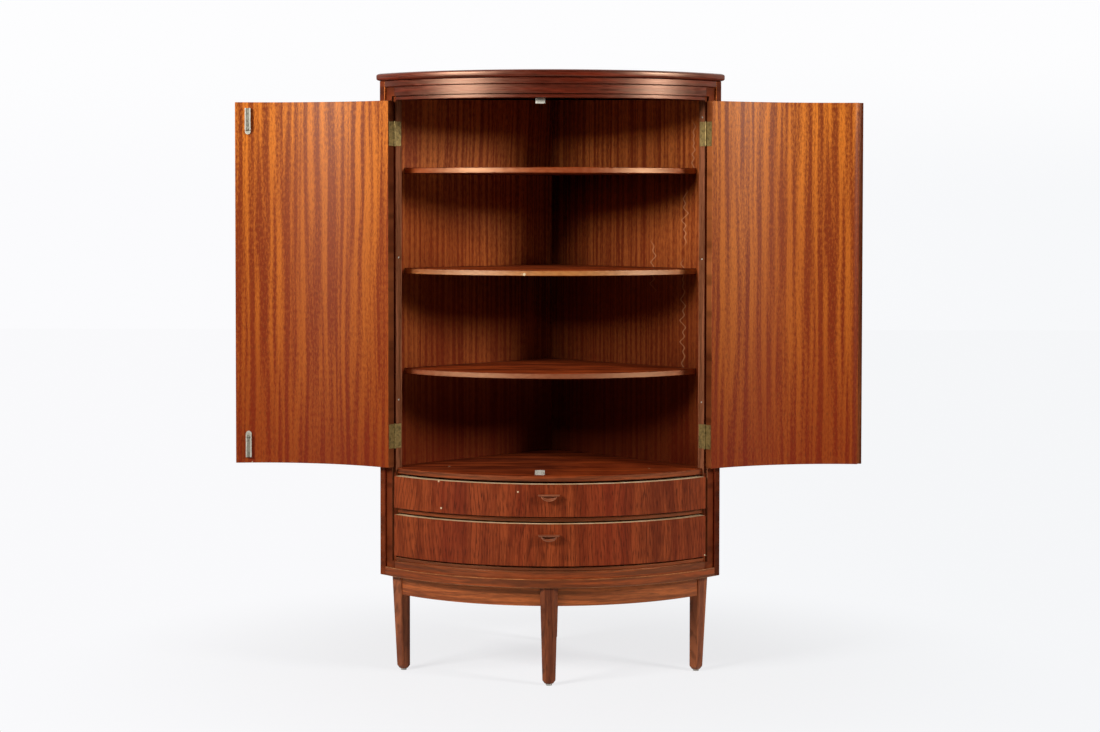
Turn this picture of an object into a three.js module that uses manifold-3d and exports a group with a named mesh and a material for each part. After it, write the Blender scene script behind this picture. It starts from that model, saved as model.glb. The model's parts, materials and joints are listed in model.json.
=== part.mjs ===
// Corner bar cabinet with curved doors and two drawers, in millimetres, +Z up.
// X runs to the right and Y to the corner of the room. The origin is under the rear foot.
import * as THREE from 'three';
import { mergeVertices } from 'three/addons/utils/BufferGeometryUtils.js';
import Module from 'manifold-3d';

const wasm = await Module();
wasm.setup();

// Driving sizes of the case
const wallLength = 500;
const panelThickness = 16;
const frontRadius = 458.2;
const legHeight = 200;
const caseHeight = 1025;
const bottomThickness = 18;
const innerTopThickness = 13;
const topThickness = 15;
const topFrontOverhang = 8;
const topSideOverhang = 3;
const topNosing = 5;
const boardChamfer = 1.2;

// Driving sizes of the face frame
const frameRecess = 5;
const openingInset = 42;
const stileDepth = 20;
const railDepth = 40;
const stripWidth = 5;
const stripRecess = 3.5;
const quirkWidth = 3;
const quirkRecess = 5.5;
const topRailHeight = 27;
const bottomRailHeight = 22;

// Driving sizes of the inside
const floorThickness = 12;
const floorRecess = 4;
const drawerSpace = 173.4;
const shelfThickness = 12;
const shelfSetback = 54.2;
const shelfShares = [0.2519, 0.5268, 0.8016];
const housingDepth = 5;
const dividerThickness = 7;
const dividerDepth = 65;
const lowerDrawerSpace = 93;
const runnerWidth = 44;

// Driving sizes of the doors
const doorThickness = 17;
const doorGap = 1;
const doorBottomGap = 1.8;
const doorTopGap = 1.7;
const doorOpenAngle = THREE.MathUtils.degToRad(172.4);
const doorChamfer = 0.8;
const meetingOverlap = 7.5;
const meetingGap = 0.8;
const lipThickness = 8;
const lipGap = 0.8;

// Driving sizes of the butt hinges
const hingeLength = 50;
const lowerHingeInset = 39.5;
const upperHingeInset = 42.5;
const leafWidth = 17.5;
const leafThickness = 1.2;
const leafSpacing = 0.6;
const barrelRadius = 2.5;
const barrelRise = 0.4;
const pinRadius = 1.2;
const pinClearance = 0.2;
const pinHeadRadius = 1.9;
const pinHeadHeight = 1.4;
const knuckleCount = 5;
const knuckleGap = 0.4;

// Driving sizes of the slide bolts and their keepers
const boltOffset = 19;
const boltWidth = 12;
const boltLength = 55;
const boltBase = 2.5;
const boltWall = 1.6;
const boltLip = 1.6;
const boltLipThickness = 1;
const boltEndInset = 12.3;
const boltChannelLength = 47;
const slideThickness = 2.4;
const slideLength = 46.6;
const knobRadius = 2.2;
const knobHeight = 3.5;
const knobSetback = 0.9;
const keeperWidth = 20;
const keeperDepth = 9.7;
const keeperHeight = 12;
const keeperDoorGap = 0.8;
const keeperLetIn = 3;
const keeperCorner = 3;

// Driving sizes of the drawers
const frontThickness = 22;
const frontProud = 2;
const frontSideGap = 0.6;
const frontTopGap = 4.4;
const frontBottomGap = 2.9;
const lowerFrontBottomGap = 3.5;
const lowerFrontTopGap = 4;
const frontChamfer = 1;
const drawerSideInset = 44;
const drawerSideThickness = 10;
const drawerBackSetback = 105;
const drawerBackThickness = 12;
const drawerRimDrop = 12;
const drawerRide = 0.5;
const drawerBaseRise = 6;
const drawerBaseThickness = 4;
const drawerGroove = 4;

// Driving sizes of the lip pulls
const pullWidth = 45;
const pullBarHeight = 3;
const pullProjection = 13;
const pullBowlWidth = 33;
const pullBowlHeight = 11.5;
const pullBowlProjection = 11.5;
const pullRim = 1.8;
const pullScoopDepth = 7.5;
const pullNeckShare = 0.72;
const upperPullDrop = 19.8;
const lowerPullDrop = 21;
const doorPullOffset = 30;
const doorPullShare = 0.5;

// Driving sizes of the base
const legSide = 28;
const footSide = 21;
const legInset = 16;
const legChamfer = 2.2;
const footChamferHeight = 6.5;
const footShare = 0.62;
const legSetback = 18;
const centreLegLap = 11.7;
const planedShare = 0.5;
const apronHeight = 40;
const apronThickness = 16;
const apronSetback = 23.2;
const backApronInset = 18;
const glideRadius = 6.2;
const glideHeight = 3.5;

// Fits and facets
const fit = 0.3;
const overrun = 5;
const arcStep = THREE.MathUtils.degToRad(3);
const roundSteps = 16;

// Levels, worked out from the floor up
const caseTop = legHeight + caseHeight;
const bottomTop = legHeight + bottomThickness;
const innerTopBase = caseTop - innerTopThickness;
const openingTop = innerTopBase - topRailHeight;
const drawerOpeningBase = bottomTop + bottomRailHeight;
const floorBase = drawerOpeningBase + drawerSpace;
const floorTop = floorBase + floorThickness;
const dividerBase = drawerOpeningBase + lowerDrawerSpace;
const dividerTop = dividerBase + dividerThickness;
const doorBase = floorTop + doorBottomGap;
const doorTop = openingTop - doorTopGap;

// Radii of the curved faces, all struck from one centre
const frameRadius = frontRadius - frameRecess;
const stripRadius = frameRadius - stripRecess;
const quirkRadius = frameRadius - quirkRecess;
const doorInnerRadius = stripRadius - doorThickness;
const floorRadius = stripRadius - floorRecess;
const shelfRadius = frontRadius - shelfSetback;
const apronRadius = frontRadius - apronSetback;
const rootTwo = Math.SQRT2;
const arcCentre = Math.sqrt(frontRadius ** 2 - ((wallLength - panelThickness) / rootTwo) ** 2)
  - (wallLength + panelThickness) / rootTwo;

const colours = {
  teak: 0x7a3a1e, rail: 0x74391f, sapele: 0xb8602c, wall: 0x8f4526,
  raw: 0xc9a878, brass: 0x8a7a45, steel: 0xbcb7a6, glide: 0xa9a9a4,
};

function finish(colour, roughness = 0.5, metalness = 0) {
  return new THREE.MeshStandardMaterial({ color: colour, roughness, metalness });
}

const teak = () => finish(colours.teak);
const railWood = () => finish(colours.rail);
const sapele = () => finish(colours.sapele);
const wallWood = () => finish(colours.wall);
const rawWood = () => finish(colours.raw, 0.8);
const brass = () => finish(colours.brass, 0.35, 1);
const steel = () => finish(colours.steel, 0.3, 1);

// Places in plan: inset is measured square to a side's outer face, along from the rear corner.
function atWall(side, inset, along) {
  return [side * (along - inset) / rootTwo, -(along + inset) / rootTwo];
}

function onArc(radius, angle) {
  return [radius * Math.sin(angle), arcCentre - radius * Math.cos(angle)];
}

function angleAtInset(radius, inset) {
  return Math.PI / 4 + Math.asin((-inset * rootTwo - arcCentre) / (radius * rootTwo));
}

function angleAtX(radius, x) {
  return Math.asin(x / radius);
}

function alongAtInset(radius, inset) {
  const [x, y] = onArc(radius, angleAtInset(radius, inset));
  return (x - y) / rootTwo;
}

// Every arc breaks at the same angles, so neighbouring curved faces stay parallel.
function arc(radius, from, to) {
  const points = [onArc(radius, from)];
  const ascending = to > from;
  const first = Math.floor(Math.min(from, to) / arcStep) + 1;
  const last = Math.ceil(Math.max(from, to) / arcStep) - 1;
  const inner = [];
  for (let k = first; k <= last; k += 1) inner.push(onArc(radius, k * arcStep));
  points.push(...(ascending ? inner : inner.reverse()), onArc(radius, to));
  return points;
}

function mirrored(points) {
  return points.map(([x, y]) => [-x, y]).reverse();
}

// A solid through closed rings of as many points each, all running the same way round.
function loft(rings) {
  const flat = rings[0].points.map(([x, y]) => new THREE.Vector2(x, y));
  const turned = THREE.ShapeUtils.isClockWise(flat);
  const ordered = rings.map(({ z, points }) => ({ z, points: turned ? [...points].reverse() : points }));
  const count = flat.length;
  const vertices = ordered.flatMap(({ z, points }) => points.flatMap(([x, y]) => [x, y, z]));
  const faces = [];
  for (let ring = 0; ring + 1 < ordered.length; ring += 1) {
    for (let k = 0; k < count; k += 1) {
      const next = (k + 1) % count;
      const low = ring * count;
      const high = low + count;
      faces.push(low + k, low + next, high + next, low + k, high + next, high + k);
    }
  }
  const capOf = ({ points }) => THREE.ShapeUtils.triangulateShape(
    points.map(([x, y]) => new THREE.Vector2(x, y)), []);
  const lid = (ordered.length - 1) * count;
  for (const [a, b, c] of capOf(ordered[0])) faces.push(a, c, b);
  for (const [a, b, c] of capOf(ordered[ordered.length - 1])) faces.push(lid + a, lid + b, lid + c);
  const geometry = new THREE.BufferGeometry();
  geometry.setAttribute('position', new THREE.Float32BufferAttribute(vertices, 3));
  geometry.setIndex(faces);
  return geometry;
}

function slab(points, base, top) {
  return loft([{ z: base, points }, { z: top, points }]);
}

// A board whose outline steps in by its chamfer at both faces.
function board(outline, base, top, chamfer = boardChamfer) {
  return loft([
    { z: base, points: outline(chamfer) },
    { z: base + chamfer, points: outline(0) },
    { z: top - chamfer, points: outline(0) },
    { z: top, points: outline(chamfer) },
  ]);
}

function solidOf(geometry) {
  const bare = geometry.clone();
  bare.deleteAttribute('normal');
  bare.deleteAttribute('uv');
  const merged = mergeVertices(bare);
  return new wasm.Manifold(new wasm.Mesh({
    numProp: 3,
    vertProperties: new Float32Array(merged.attributes.position.array),
    triVerts: new Uint32Array(merged.index.array),
  }));
}

function geometryOf(solid) {
  const { vertProperties, triVerts } = solid.getMesh();
  const geometry = new THREE.BufferGeometry();
  geometry.setAttribute('position', new THREE.Float32BufferAttribute(vertProperties, 3));
  geometry.setIndex([...triVerts]);
  return geometry;
}

function cut(geometry, cutters) {
  return geometryOf(cutters.reduce((left, tool) => left.subtract(solidOf(tool)), solidOf(geometry)));
}

function join(geometries) {
  return geometryOf(geometries.map(solidOf).reduce((all, one) => all.add(one)));
}

function box(minimum, maximum) {
  const size = maximum.map((high, axis) => high - minimum[axis]);
  const middle = maximum.map((high, axis) => (high + minimum[axis]) / 2);
  return new THREE.BoxGeometry(...size).translate(...middle);
}

// An upright block in a side's own plan, between two insets and two places along the wall.
function wallBlock(side, [insetA, insetB], [alongA, alongB], [base, top]) {
  const corners = [[insetA, alongA], [insetA, alongB], [insetB, alongB], [insetB, alongA]];
  return slab(corners.map(([inset, along]) => atWall(side, inset, along)), base, top);
}

// A region between two arcs and two insets on one side.
function arcBlock(side, [outer, inner], [insetA, insetB], [base, top]) {
  const outerArc = arc(outer, angleAtInset(outer, insetA), angleAtInset(outer, insetB));
  const innerArc = arc(inner, angleAtInset(inner, insetB), angleAtInset(inner, insetA));
  const points = [...outerArc, ...innerArc];
  return slab(side > 0 ? points : mirrored(points), base, top);
}

// The plan that the case's boards share: two sides meeting at the corner, and a curved front.
function cornerOutline(inset, radius) {
  const end = angleAtInset(radius, inset);
  return [[0, -inset * rootTwo], ...arc(radius, end, -end)];
}

// A curved bar between the two stiles.
function barOutline(outer, inner, inset) {
  const outerEnd = angleAtInset(outer, inset);
  const innerEnd = angleAtInset(inner, inset);
  return [...arc(outer, outerEnd, -outerEnd), ...arc(inner, -innerEnd, innerEnd)];
}

const model = new THREE.Group();
const cabinet = new THREE.Group();
cabinet.position.y = rootTwo * (legInset + legSide - footSide / 2);
model.add(cabinet);
const sides = { left: -1, right: 1 };

function add(name, geometry, material, group = cabinet) {
  geometry.deleteAttribute('normal');
  geometry.computeVertexNormals();
  const mesh = new THREE.Mesh(geometry, material);
  mesh.name = name;
  group.add(mesh);
  return mesh;
}

// Top, inner top and bottom boards
function addBoards() {
  const topRadius = frontRadius + topFrontOverhang;
  const topOutline = (step) => cornerOutline(step - topSideOverhang, topRadius - step);
  const roundShares = [0, 0.3, 0.65, 1];
  const nose = (share) => topNosing * (1 - Math.sqrt(1 - (1 - share) ** 2));
  const lower = roundShares.map((share) => ({
    z: caseTop + share * topNosing, points: topOutline(nose(share)),
  }));
  const upper = roundShares.map((share) => ({
    z: caseTop + topThickness - share * topNosing, points: topOutline(nose(share)),
  })).reverse();
  add('top_board', loft([...lower, ...upper]), teak());
  const inset = panelThickness + fit;
  const outline = (step) => cornerOutline(inset, frontRadius - step);
  add('inner_top', board(outline, innerTopBase, caseTop), teak());
  add('bottom_board', board(outline, legHeight, bottomTop), teak());
}

// Side panels, housed for the shelves, the cupboard floor and the drawer divider
function shelfLevels() {
  return shelfShares.map((share) => floorTop + share * (openingTop - floorTop));
}

function addSidePanels() {
  const stileBack = stileBackAlong();
  const housings = [
    ...shelfLevels().map((level) => [level, level + shelfThickness, shelfFrontAlong()]),
    [floorBase, floorTop, stileBack],
    [dividerBase, dividerTop, stileBack],
  ];
  for (const [name, side] of Object.entries(sides)) {
    const rear = side > 0 ? panelThickness + fit : 0;
    const outline = (step) => {
      const front = wallLength - step;
      const corners = [
        [0, rear], [panelThickness, rear], [panelThickness, front - boardChamfer],
        [panelThickness - boardChamfer, front], [boardChamfer, front], [0, front - boardChamfer],
      ];
      return corners.map(([inset, along]) => atWall(side, inset, along));
    };
    const grooves = housings.map(([base, top, along]) => wallBlock(
      side, [panelThickness - housingDepth, panelThickness + overrun],
      [panelThickness - housingDepth, along + fit], [base - fit, top + fit]));
    add(`${name}_side_panel`, cut(board(outline, legHeight, caseTop), grooves), teak());
  }
}

function stileBackAlong() {
  return alongAtInset(frameRadius, openingInset) - stileDepth;
}

function shelfFrontAlong() {
  return alongAtInset(shelfRadius, panelThickness);
}

// Hinge places shared by the stiles, the doors and the hinges
const barrelInset = openingInset + doorGap / 2;
const barrelAlong = alongAtInset(stripRadius, barrelInset) + barrelRadius + barrelRise;
const hingeBases = [doorBase + lowerHingeInset, doorTop - upperHingeInset - hingeLength];
const hingeNames = ['lower', 'upper'];
const mortiseDepth = leafThickness + leafSpacing / 2 - doorGap / 2;

function mortises(side, face, inward) {
  const floor = face - inward * (mortiseDepth + fit);
  return hingeBases.map((base) => wallBlock(
    side, inward > 0 ? [floor, face + overrun] : [face - overrun, floor],
    [barrelAlong - leafWidth - fit, barrelAlong + overrun], [base - fit, base + hingeLength + fit]));
}

// Face frame: two stiles and two curved rails with a quirk and a strip round the opening
function addFaceFrame() {
  const quirkBase = bottomTop + bottomRailHeight - stripWidth - quirkWidth;
  const quirkTop = openingTop + stripWidth + quirkWidth;
  const quirkInset = openingInset - stripWidth - quirkWidth;
  const beyond = frameRadius + overrun;
  const inside = openingInset + overrun;
  const back = stileBackAlong();
  for (const [name, side] of Object.entries(sides)) {
    const front = arc(frameRadius, angleAtInset(frameRadius, panelThickness + fit),
      angleAtInset(frameRadius, openingInset));
    const rear = [openingInset, panelThickness + fit].map((inset) => atWall(1, inset, back));
    const points = [...front, ...rear];
    const blank = slab(side > 0 ? points : mirrored(points), bottomTop, innerTopBase);
    const recess = arcBlock(side, [beyond, stripRadius], [quirkInset, inside], [quirkBase, quirkTop]);
    const quirks = [
      arcBlock(side, [beyond, quirkRadius], [quirkInset, quirkInset + quirkWidth], [quirkBase, quirkTop]),
      arcBlock(side, [beyond, quirkRadius], [quirkInset, inside], [quirkBase, quirkBase + quirkWidth]),
      arcBlock(side, [beyond, quirkRadius], [quirkInset, inside], [quirkTop - quirkWidth, quirkTop]),
    ];
    add(`${name}_stile`, cut(blank, [recess, ...quirks, ...mortises(side, openingInset, 1)]), railWood());
  }
  const inset = openingInset + fit;
  const rail = (levels, radii) => join(radii.map((radius, k) => slab(
    barOutline(radius, frameRadius - railDepth, inset), levels[k], levels[k + 1])));
  add('top_rail', rail([openingTop, openingTop + stripWidth, quirkTop, innerTopBase],
    [stripRadius, quirkRadius, frameRadius]), railWood());
  add('bottom_rail', rail([bottomTop, quirkBase, quirkBase + quirkWidth, drawerOpeningBase],
    [frameRadius, quirkRadius, stripRadius]), railWood());
}

// Boards that run back from the opening, notched round the stiles
function notchedOutline(radius, step) {
  const inset = panelThickness - housingDepth + fit;
  const back = stileBackAlong() - fit;
  const inner = openingInset + fit;
  const end = angleAtInset(radius - step, inner);
  const rightNotch = [atWall(1, inset, back), atWall(1, inner, back)];
  return [[0, -inset * rootTwo], ...rightNotch, ...arc(radius - step, end, -end), ...mirrored(rightNotch)];
}

function addInside() {
  const floor = board((step) => notchedOutline(floorRadius, step), floorBase, floorTop);
  const keeperHousing = slab(keeperOutline(-fit), floorTop - keeperLetIn - fit, floorTop + overrun);
  add('cupboard_floor', cut(floor, [keeperHousing]), wallWood());
  const dividerBack = floorRadius - dividerDepth;
  const inset = panelThickness - housingDepth + fit;
  const inner = openingInset + fit;
  const back = stileBackAlong() - fit;
  const front = angleAtInset(floorRadius, inner);
  const rear = angleAtInset(dividerBack, inset);
  const rightEnd = [atWall(1, inset, back), atWall(1, inner, back)];
  const divider = [...arc(dividerBack, -rear, rear), ...rightEnd, ...arc(floorRadius, front, -front),
    ...mirrored(rightEnd)];
  add('drawer_divider', slab(divider, dividerBase, dividerTop), railWood());
  const shelfNames = ['lower_shelf', 'middle_shelf', 'upper_shelf'];
  shelfLevels().forEach((level, k) => {
    const outline = (step) => cornerOutline(inset, shelfRadius - step);
    add(shelfNames[k], board(outline, level, level + shelfThickness), wallWood());
  });
}

// Drawer runners: a bar down the middle, pointed to sit in the rear corner
function addRunners() {
  const half = runnerWidth / 2;
  const corner = -(panelThickness + fit) * rootTwo;
  const runner = (radius, base, top) => {
    const frontY = arcCentre - radius;
    return slab([[0, corner], [half, corner - half], [half, frontY + fit], [-half, frontY + fit],
      [-half, corner - half]], base, top);
  };
  const chordSag = (radius) => radius * Math.cos(angleAtX(radius, half));
  add('upper_drawer_runner', runner(chordSag(floorRadius - dividerDepth), dividerBase, dividerTop), rawWood());
  add('lower_drawer_runner', runner(chordSag(frameRadius - railDepth), bottomTop, drawerOpeningBase), rawWood());
}

// Doors, drawn shut and then swung open on their hinge pins
function doorOutline(side, step) {
  const edge = openingInset + doorGap + step;
  const outer = stripRadius - step;
  const inner = doorInnerRadius + step;
  const outerHinge = angleAtInset(outer, edge);
  const innerHinge = angleAtInset(inner, edge);
  const lipBack = stripRadius - lipThickness - (side > 0 ? 0 : lipGap);
  const outerX = meetingGap / 2 + step;
  const innerX = step + (side > 0 ? meetingOverlap + meetingGap : -meetingOverlap);
  return [
    ...arc(outer, outerHinge, angleAtX(outer, outerX)),
    ...arc(lipBack, angleAtX(lipBack, outerX), angleAtX(lipBack, innerX)),
    ...arc(inner, angleAtX(inner, innerX), innerHinge),
  ];
}

function addDoors() {
  const pin = (side) => atWall(side, barrelInset, barrelAlong);
  for (const [name, side] of Object.entries(sides)) {
    const group = new THREE.Group();
    const [x, y] = pin(side);
    group.position.set(x, y, 0);
    group.rotation.z = side * doorOpenAngle;
    cabinet.add(group);
    const hang = (geometry) => geometry.translate(-x, -y, 0);
    const outline = (step) => {
      const points = doorOutline(side, step);
      return side > 0 ? points : mirrored(points);
    };
    const panel = cut(board(outline, doorBase, doorTop, doorChamfer),
      mortises(side, openingInset + doorGap, -1));
    add(`${name}_door`, hang(panel), sapele(), group);
    hingeBases.forEach((base, k) => {
      const title = `${name}_${hingeNames[k]}_hinge`;
      add(`${title}_frame_leaf`, hingeLeaf(side, base, 1), brass());
      add(`${title}_door_leaf`, hang(hingeLeaf(side, base, -1)), brass(), group);
      add(`${title}_pin`, hingePin(side, base), brass());
    });
    if (side < 0) {
      addBolts(group, hang);
    } else {
      const angle = angleAtX(stripRadius, doorPullOffset);
      const level = doorBase + doorPullShare * (doorTop - doorBase);
      add(`${name}_door_pull`, hang(lipPull(stripRadius, angle, level, outline(-fit))), teak(), group);
    }
  }
}

// Butt hinge: a plate and its share of the knuckles, as one piece
function hingeLeaf(side, base, inward) {
  const near = barrelInset - inward * leafSpacing / 2;
  const far = near - inward * leafThickness;
  const plate = wallBlock(side, [Math.min(near, far), Math.max(near, far)],
    [barrelAlong - leafWidth, barrelAlong - barrelRadius + leafThickness / 2], [base, base + hingeLength]);
  const first = inward > 0 ? 0 : 1;
  const pitch = hingeLength / knuckleCount;
  const [x, y] = atWall(side, barrelInset, barrelAlong);
  const knuckles = [];
  for (let k = first; k < knuckleCount; k += 2) {
    const height = pitch - knuckleGap;
    const barrel = new THREE.CylinderGeometry(barrelRadius, barrelRadius, height, roundSteps);
    barrel.rotateX(Math.PI / 2).translate(x, y, base + (k + 1 / 2) * pitch);
    const reach = wallBlock(side, [Math.min(near, far), Math.max(near, far)],
      [barrelAlong - barrelRadius, barrelAlong - pinRadius - pinClearance],
      [base + k * pitch + knuckleGap / 2, base + (k + 1) * pitch - knuckleGap / 2]);
    knuckles.push(barrel, reach);
  }
  const gaps = [];
  for (let k = 1 - first; k < knuckleCount; k += 2) {
    gaps.push(wallBlock(side, [barrelInset - barrelRadius * 2, barrelInset + barrelRadius * 2],
      [barrelAlong - barrelRadius - fit, barrelAlong + barrelRadius * 2],
      [base + k * pitch - knuckleGap / 2, base + (k + 1) * pitch + knuckleGap / 2]));
  }
  const bore = new THREE.CylinderGeometry(pinRadius + pinClearance, pinRadius + pinClearance,
    hingeLength + overrun, roundSteps);
  bore.rotateX(Math.PI / 2).translate(x, y, base + hingeLength / 2);
  return cut(join([plate, ...knuckles]), [bore, ...gaps]);
}

function hingePin(side, base) {
  const half = hingeLength / 2;
  const tip = half + pinHeadHeight;
  const head = half + knuckleGap / 2;
  const profile = [[0, -tip], [pinHeadRadius, -tip + pinHeadHeight / 2], [pinHeadRadius, -head],
    [pinRadius, -head], [pinRadius, head], [pinHeadRadius, head],
    [pinHeadRadius, tip - pinHeadHeight / 2], [0, tip]];
  const pin = new THREE.LatheGeometry(profile.map(([r, z]) => new THREE.Vector2(r, z)), roundSteps);
  const [x, y] = atWall(side, barrelInset, barrelAlong);
  return pin.rotateX(Math.PI / 2).translate(x, y, base + half);
}

// Slide bolts: their own frame has X across, Y away from the door and Z towards the shooting end.
function boltCase() {
  const half = boltWidth / 2;
  const plan = new THREE.Shape();
  plan.moveTo(-half, 0);
  plan.lineTo(-half, half - boltLength);
  plan.absarc(0, half - boltLength, half, Math.PI, Math.PI * 2, false);
  plan.lineTo(half, 0);
  const base = new THREE.ExtrudeGeometry(plan, {
    depth: boltBase, bevelEnabled: false, curveSegments: roundSteps / 2,
  });
  base.rotateX(Math.PI / 2).translate(0, boltBase, 0);
  const wallTop = boltBase + slideThickness + fit * 2 + boltLipThickness;
  const walls = [-1, 1].flatMap((hand) => {
    const outer = hand * half;
    const inner = hand * (half - boltWall);
    const lip = hand * (half - boltWall - boltLip);
    const span = (a, b) => [Math.min(a, b), Math.max(a, b)];
    const [wallA, wallB] = span(outer, inner);
    const [lipA, lipB] = span(outer, lip);
    return [
      box([wallA, boltBase / 2, -boltChannelLength], [wallB, wallTop, 0]),
      box([lipA, wallTop - boltLipThickness, -boltChannelLength], [lipB, wallTop, 0]),
    ];
  });
  return join([base, ...walls]);
}

function boltSlide() {
  const half = boltWidth / 2 - boltWall - fit;
  const base = boltBase + fit;
  const bar = box([-half, base, -slideLength], [half, base + slideThickness, 0]);
  const knob = new THREE.CylinderGeometry(knobRadius, knobRadius, slideThickness + knobHeight, roundSteps);
  const knobDepth = slideLength - knobRadius - knobSetback;
  knob.translate(0, base + (slideThickness + knobHeight) / 2, -knobDepth);
  return join([bar, knob]);
}

// The radius of the slide's middle is where the keepers' slots lie.
const slideRadius = doorInnerRadius - fit * 2 - boltBase - slideThickness / 2;

function placeBolt(geometry, up) {
  const turned = up ? geometry : geometry.rotateY(Math.PI);
  const [x, y] = onArc(doorInnerRadius - fit, boltAngle);
  const level = up ? doorTop - boltEndInset : doorBase + boltEndInset;
  return turned.rotateZ(boltAngle).translate(x, y, level);
}

function addBolts(group, hang) {
  for (const [name, up] of [['upper', true], ['lower', false]]) {
    add(`${name}_bolt_case`, hang(placeBolt(boltCase(), up)), steel(), group);
    add(`${name}_bolt_slide`, hang(placeBolt(boltSlide(), up)), steel(), group);
  }
}

// Keepers: blocks with a slot right through, one let into the floor and one under the top rail
const boltAngle = angleAtX(doorInnerRadius, -boltOffset);

function placeAtBolt(points) {
  return points.map(([across, radius]) => [
    radius * Math.sin(boltAngle) + across * Math.cos(boltAngle),
    arcCentre - radius * Math.cos(boltAngle) + across * Math.sin(boltAngle),
  ]);
}

function keeperOutline(step) {
  const half = keeperWidth / 2 - step;
  const near = doorInnerRadius - keeperDoorGap - step;
  const far = doorInnerRadius - keeperDoorGap - keeperDepth + step;
  const corner = half - keeperCorner;
  return placeAtBolt([[corner, near], [half, near - keeperCorner], [half, far + keeperCorner],
    [corner, far], [-corner, far], [-half, far + keeperCorner], [-half, near - keeperCorner],
    [-corner, near]]);
}

function addKeepers() {
  const half = boltWidth / 2 - boltWall;
  const near = slideRadius + slideThickness / 2 + fit;
  const far = slideRadius - slideThickness / 2 - fit;
  const slot = placeAtBolt([[-half, near], [half, near], [half, far], [-half, far]]);
  const bases = { lower: floorTop - keeperLetIn, upper: openingTop - keeperHeight };
  for (const [name, base] of Object.entries(bases)) {
    const block = board(keeperOutline, base, base + keeperHeight, boardChamfer / 2);
    const through = slab(slot, base - overrun, base + keeperHeight + overrun);
    add(`${name}_keeper`, cut(block, [through]), steel());
  }
}

// Lip pull: a bar with a scooped bowl under it, trimmed to the face that it is fixed to
function pullBar() {
  const half = pullWidth / 2;
  const plan = (end, reach) => [[-half, overrun], [half, overrun], [half - end, -reach], [end - half, -reach]];
  return loft([
    { z: -pullBarHeight, points: plan(pullBarHeight, pullBowlProjection) },
    { z: -pullBarHeight / 2, points: plan(pullBarHeight / 2, pullProjection) },
    { z: 0, points: plan(pullBarHeight / 2, pullProjection) },
  ]);
}

function pullBowl() {
  const half = pullBowlWidth / 2;
  const section = (share) => Array.from({ length: roundSteps + 1 }, (_, k) => {
    const turn = Math.PI * (1 + k / roundSteps);
    return [share * half * Math.cos(turn), share * pullBowlHeight * Math.sin(turn) - pullBarHeight / 2];
  });
  const bowl = loft([
    { z: -overrun, points: section(pullNeckShare) },
    { z: 0, points: section(pullNeckShare) },
    { z: pullBowlProjection, points: section(1) },
  ]).rotateX(Math.PI / 2);
  const scoop = new THREE.SphereGeometry(1, roundSteps, roundSteps / 2);
  scoop.rotateX(Math.PI / 2).scale(half - pullRim, pullScoopDepth, pullBowlHeight - pullRim);
  scoop.translate(0, -pullBowlProjection, -pullBarHeight / 2);
  return cut(bowl, [scoop]);
}

function lipPull(radius, angle, level, face) {
  const [x, y] = onArc(radius, angle);
  const pull = join([pullBar(), pullBowl()]).rotateZ(angle).translate(x, y, level);
  return cut(pull, [slab(face, level - pullWidth, level + pullWidth)]);
}

// Drawers: a bowed front between the stiles, on a box that narrows to the rear
const drawerFrontRadius = frameRadius + frontProud;
const drawerInnerRadius = drawerFrontRadius - frontThickness;
const drawerBoxInset = drawerSideInset + drawerSideThickness;

function drawerFrontOutline(step) {
  return barOutline(drawerFrontRadius - step, drawerInnerRadius, openingInset + frontSideGap + step);
}

// Where a plane at an inset from the right side crosses a line straight across the cabinet
function acrossAt(inset, setback) {
  return [setback - inset * rootTwo, -setback];
}

function drawerFloorOutline(step) {
  const inset = drawerBoxInset - drawerGroove + step;
  const radius = drawerInnerRadius + drawerGroove - step;
  const setback = drawerBackSetback + drawerBackThickness - drawerGroove + step;
  const end = angleAtInset(radius, inset);
  const rear = acrossAt(inset, setback);
  return [...arc(radius, end, -end), ...mirrored([rear]), rear];
}

function drawerSideOutline() {
  const radius = drawerInnerRadius - fit;
  const front = arc(radius, angleAtInset(radius, drawerSideInset), angleAtInset(radius, drawerBoxInset));
  return [...front, acrossAt(drawerBoxInset, drawerBackSetback), acrossAt(drawerSideInset, drawerBackSetback)];
}

function drawerBackOutline() {
  const inset = drawerBoxInset + fit;
  const rear = acrossAt(inset, drawerBackSetback);
  const front = acrossAt(inset, drawerBackSetback + drawerBackThickness);
  return [front, rear, ...mirrored([front, rear])];
}

function addDrawer(name, [base, top], [frontBase, frontTop], pullDrop) {
  const floor = base + drawerBaseRise;
  const groove = slab(drawerFloorOutline(-fit), floor - fit, floor + drawerBaseThickness + fit);
  const front = board(drawerFrontOutline, frontBase, frontTop, frontChamfer);
  add(`${name}_front`, cut(front, [groove]), teak());
  for (const [hand, side] of Object.entries(sides)) {
    const outline = drawerSideOutline();
    const blank = slab(side > 0 ? outline : mirrored(outline), base, top);
    add(`${name}_${hand}_side`, cut(blank, [groove]), rawWood());
  }
  add(`${name}_back`, cut(slab(drawerBackOutline(), base, top), [groove]), rawWood());
  add(`${name}_bottom`, slab(drawerFloorOutline(0), floor, floor + drawerBaseThickness), rawWood());
  const pull = lipPull(drawerFrontRadius, 0, frontTop - pullDrop, drawerFrontOutline(0));
  add(`${name}_pull`, pull, teak());
}

function addDrawers() {
  addDrawer('upper_drawer', [dividerTop + drawerRide, floorBase - drawerRimDrop],
    [dividerTop + frontBottomGap, floorBase - frontTopGap], upperPullDrop);
  addDrawer('lower_drawer', [drawerOpeningBase + drawerRide, dividerBase - drawerRimDrop],
    [drawerOpeningBase + lowerFrontBottomGap, dividerBase - lowerFrontTopGap], lowerPullDrop);
}

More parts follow.
